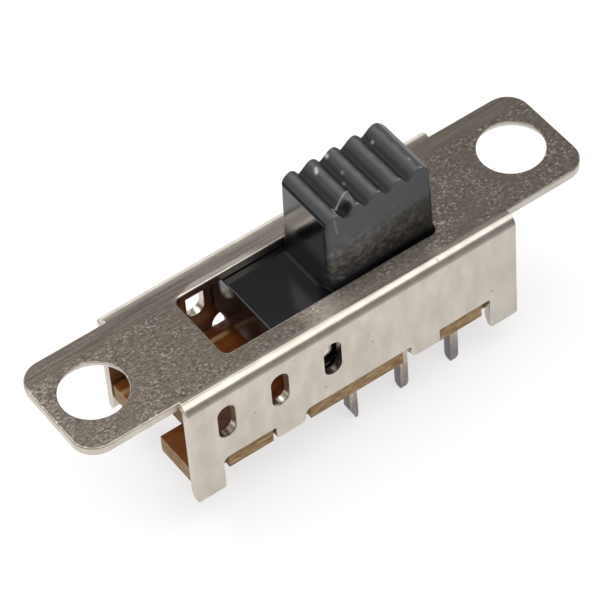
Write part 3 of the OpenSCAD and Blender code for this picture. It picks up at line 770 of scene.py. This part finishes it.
# Scratches and nicks: the surface and the two axes that measure it, the line's ends, its radius and strength.
for where, axes, a, b, radius, amount in (
        (on_top, [0, 1], (2.01, -0.81), (1.18, -1.04), 0.04, 0.45),
        (on_top, [0, 1], (1.18, -1.04), (0.78, -1.30), 0.04, 0.45),
        (on_top, [0, 1], (0.78, -1.30), (0.72, -1.62), 0.05, 0.35),
        (on_top, [0, 1], (1.95, -0.85), (1.80, -1.45), 0.04, 0.25),
        (on_front, [0, 2], (0.50, 4.40), (0.61, 3.47), 0.04, 0.35),
        (on_front, [0, 2], (0.42, 0.52), (0.78, 0.30), 0.06, 0.25),
        (on_top, [0, 1], (1.58, 1.02), (1.66, 1.18), 0.08, 1.0),
        (on_top, [0, 1], (2.60, 1.62), (2.62, 1.74), 0.07, 0.9),
        (on_top, [0, 1], (4.84, 1.10), (4.84, 1.16), 0.06, 0.5),
        (on_top, [0, 1], (2.57, 0.36), (2.57, 0.42), 0.06, 0.3),
        (on_top, [0, 1], (2.31, -0.10), (2.31, -0.02), 0.06, 0.25),
        (on_top, [0, 1], (5.35, -1.06), (5.35, -1.00), 0.06, 0.35)):
    away = near_segment(places[:, axes], a, b)
    scratch_and_highlight = np.maximum(scratch_and_highlight, where * amount * np.exp(-(away / radius) ** 2))

# Painted highlights lie on both ends of each ridge's crest, and painted light on the top of the front face,
# fading to the right.
pitch = knob_l / ridges
for crest in knob_x - knob_l / 2 + pitch * (np.arange(ridges) + ridge_peak - ridge_lead):
    near_end = np.hypot(x - crest - 0.1, y + 1.76)
    far_end = np.hypot(x - crest - 0.32, y - 1.70)
    marks = 0.35 * np.exp(-(near_end / 0.09) ** 2) + 0.5 * np.exp(-(far_end / 0.07) ** 2)
    scratch_and_highlight = np.maximum(scratch_and_highlight, on_top * (np.abs(y) < side_y) * marks)
scratch_and_highlight += (0.055 - 0.008 * x) * on_front * np.clip((z - 1.8) / 1.2, 0, 1)
chip = on_top * np.exp(-(np.linalg.norm(places[:, :2] - (1.30, -1.45), axis=1) / 0.33) ** 6)
dust_height = np.clip((3.4 - z) / 1.2, 0, 1) * np.clip((z - 0.2) / 0.9, 0, 1)
grime_amount = on_front * dust_height * np.clip(1.25 - x / 6, 0, 1)
matte = np.maximum(np.maximum(chip, in_valley), 0.7 * right_low * on_front)

# The two end faces stay clean, up to the ridges.
end_face = np.abs(x - knob_x) > knob_l / 2 + draft * (knob_top - z) - 0.012
for name, values in (("handling_and_light", handling_and_light), ("scratches_and_highlights", scratch_and_highlight), ("grime", grime_amount), ("chip", chip),
                     ("matte", matte)):
    layer = slider_mesh.attributes.new(name, "FLOAT", "POINT")
    layer.data.foreach_set("value", np.where(end_face & (z < 4.1), 0, values).astype(np.float32))

# ---------------------------------------------------------------------------------------------------------
# Moving contacts: two springy strips of phosphor bronze, bowed, which lie under the slide block and bridge
# two neighbouring contacts each.
# ---------------------------------------------------------------------------------------------------------
# Phosphor bronze: a golden brown metal with faint lines of 0.07 mm along the strip from rolling.
bronze, tree, surface = new_material("rolled_phosphor_bronze")
rolled = add(tree, "ShaderNodeTexNoise", {"Vector": millimetres(tree, (0.8, 14, 14)), "Scale": 1.0,
                                          "Detail": 3.0})
tone = add(tree, "ShaderNodeMix", {"Factor": rolled, "A": linear("#b98a52"), "B": linear("#dcb27c")},
           data_type="RGBA")
bump = add(tree, "ShaderNodeBump", {"Height": rolled, "Strength": 0.2, "Distance": 0.02 * MM})
strip_metal = add(tree, "ShaderNodeBsdfPrincipled", {"Base Color": tone, "Metallic": 1.0, "Roughness": 0.3,
                                                     "Normal": bump})
tree.links.new(strip_metal.outputs[0], surface)

for side in ("front", "back"):
    node = f"{side}_contact_strip"
    strip = new_piece(f"{side}_bridge", merged_copy(node), bronze, "slider")
    soften(strip, 0.04, segments=2, angle=40)
    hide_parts(node)

# ---------------------------------------------------------------------------------------------------------
# Detent balls: two ground steel balls, one in each end of the slide block's cross bore, which click into the
# walls' slots.
# ---------------------------------------------------------------------------------------------------------
# Ground steel: a bright neutral metal, with a finish that varies where the slots rub it.
ground_steel, tree, surface = new_material("ground_ball_steel")
marks = add(tree, "ShaderNodeTexNoise", {"Vector": millimetres(tree), "Scale": 5.0, "Detail": 4.0})
rough = add(tree, "ShaderNodeMapRange", {"Value": marks, "To Min": 0.08, "To Max": 0.28})
tone = add(tree, "ShaderNodeMix", {"Factor": marks, "A": linear("#b8b5b0"), "B": linear("#dedbd6")},
           data_type="RGBA")
shell = add(tree, "ShaderNodeBsdfPrincipled", {"Base Color": tone, "Metallic": 1.0, "Roughness": rough})
tree.links.new(shell.outputs[0], surface)


def sphere_points(centre, radius, rings=48, columns=96):
    """Sphere: latitude from pole to pole down the rows, longitude along the columns."""
    latitude = np.linspace(0, math.pi, rings)[:, None]
    longitude = np.linspace(0, 2 * math.pi, columns, endpoint=False)[None, :]
    around = np.stack(np.broadcast_arrays(np.sin(latitude) * np.cos(longitude),
                                          np.sin(latitude) * np.sin(longitude), np.cos(latitude)), -1)
    return np.array(centre) + radius * around


for side in ("front", "back"):
    low, high = (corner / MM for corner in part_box(f"{side}_ball"))
    ball_mesh = closed(grid_mesh(f"{side}_ball", sphere_points((low + high) / 2, (high.z - low.z) / 2),
                                 around=True))
    ball = new_piece(f"{side}_detent_ball", ball_mesh, ground_steel, f"{side}_ball")
    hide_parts(f"{side}_ball")

# ---------------------------------------------------------------------------------------------------------
# Detent spring: an open coil of steel wire in the block's cross bore, which pushes the two balls apart.
# ---------------------------------------------------------------------------------------------------------
# Drawn spring wire: grey steel with fine marks from the die.
spring_wire, tree, surface = new_material("drawn_spring_steel_wire")
drawn = add(tree, "ShaderNodeTexNoise", {"Vector": millimetres(tree), "Scale": 8.0, "Detail": 3.0})
rough = add(tree, "ShaderNodeMapRange", {"Value": drawn, "To Min": 0.2, "To Max": 0.4})
tone = add(tree, "ShaderNodeMix", {"Factor": drawn, "A": linear("#8f8d8a"), "B": linear("#bbb8b3")},
           data_type="RGBA")
wire = add(tree, "ShaderNodeBsdfPrincipled", {"Base Color": tone, "Metallic": 1.0, "Roughness": rough})
tree.links.new(wire.outputs[0], surface)

wire_d, coils = 0.2, 6


def spring_points(low, high):
    """Wire circle carried along a helix round the Y axis: one row to each step of the turn."""
    turn = np.linspace(0, 2 * math.pi * coils, coils * 48 + 1)[:, None]
    round_wire = np.linspace(0, 2 * math.pi, 16, endpoint=False)[None, :]
    centre, length = (low + high) / 2, high.y - low.y - wire_d
    coil_r = (high.z - low.z - wire_d) / 2
    radius = coil_r + wire_d / 2 * np.cos(round_wire)
    return np.stack(np.broadcast_arrays(
        centre.x + radius * np.cos(turn),
        centre.y + length * (turn / turn[-1] - 0.5) + wire_d / 2 * np.sin(round_wire),
        centre.z + radius * np.sin(turn)), -1)


spring_mesh = closed(grid_mesh("spring", spring_points(*(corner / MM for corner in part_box("detent_spring"))),
                               around=True, caps=True))
spring = new_piece("detent_coil_spring", spring_mesh, spring_wire, "slider")
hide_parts("detent_spring")
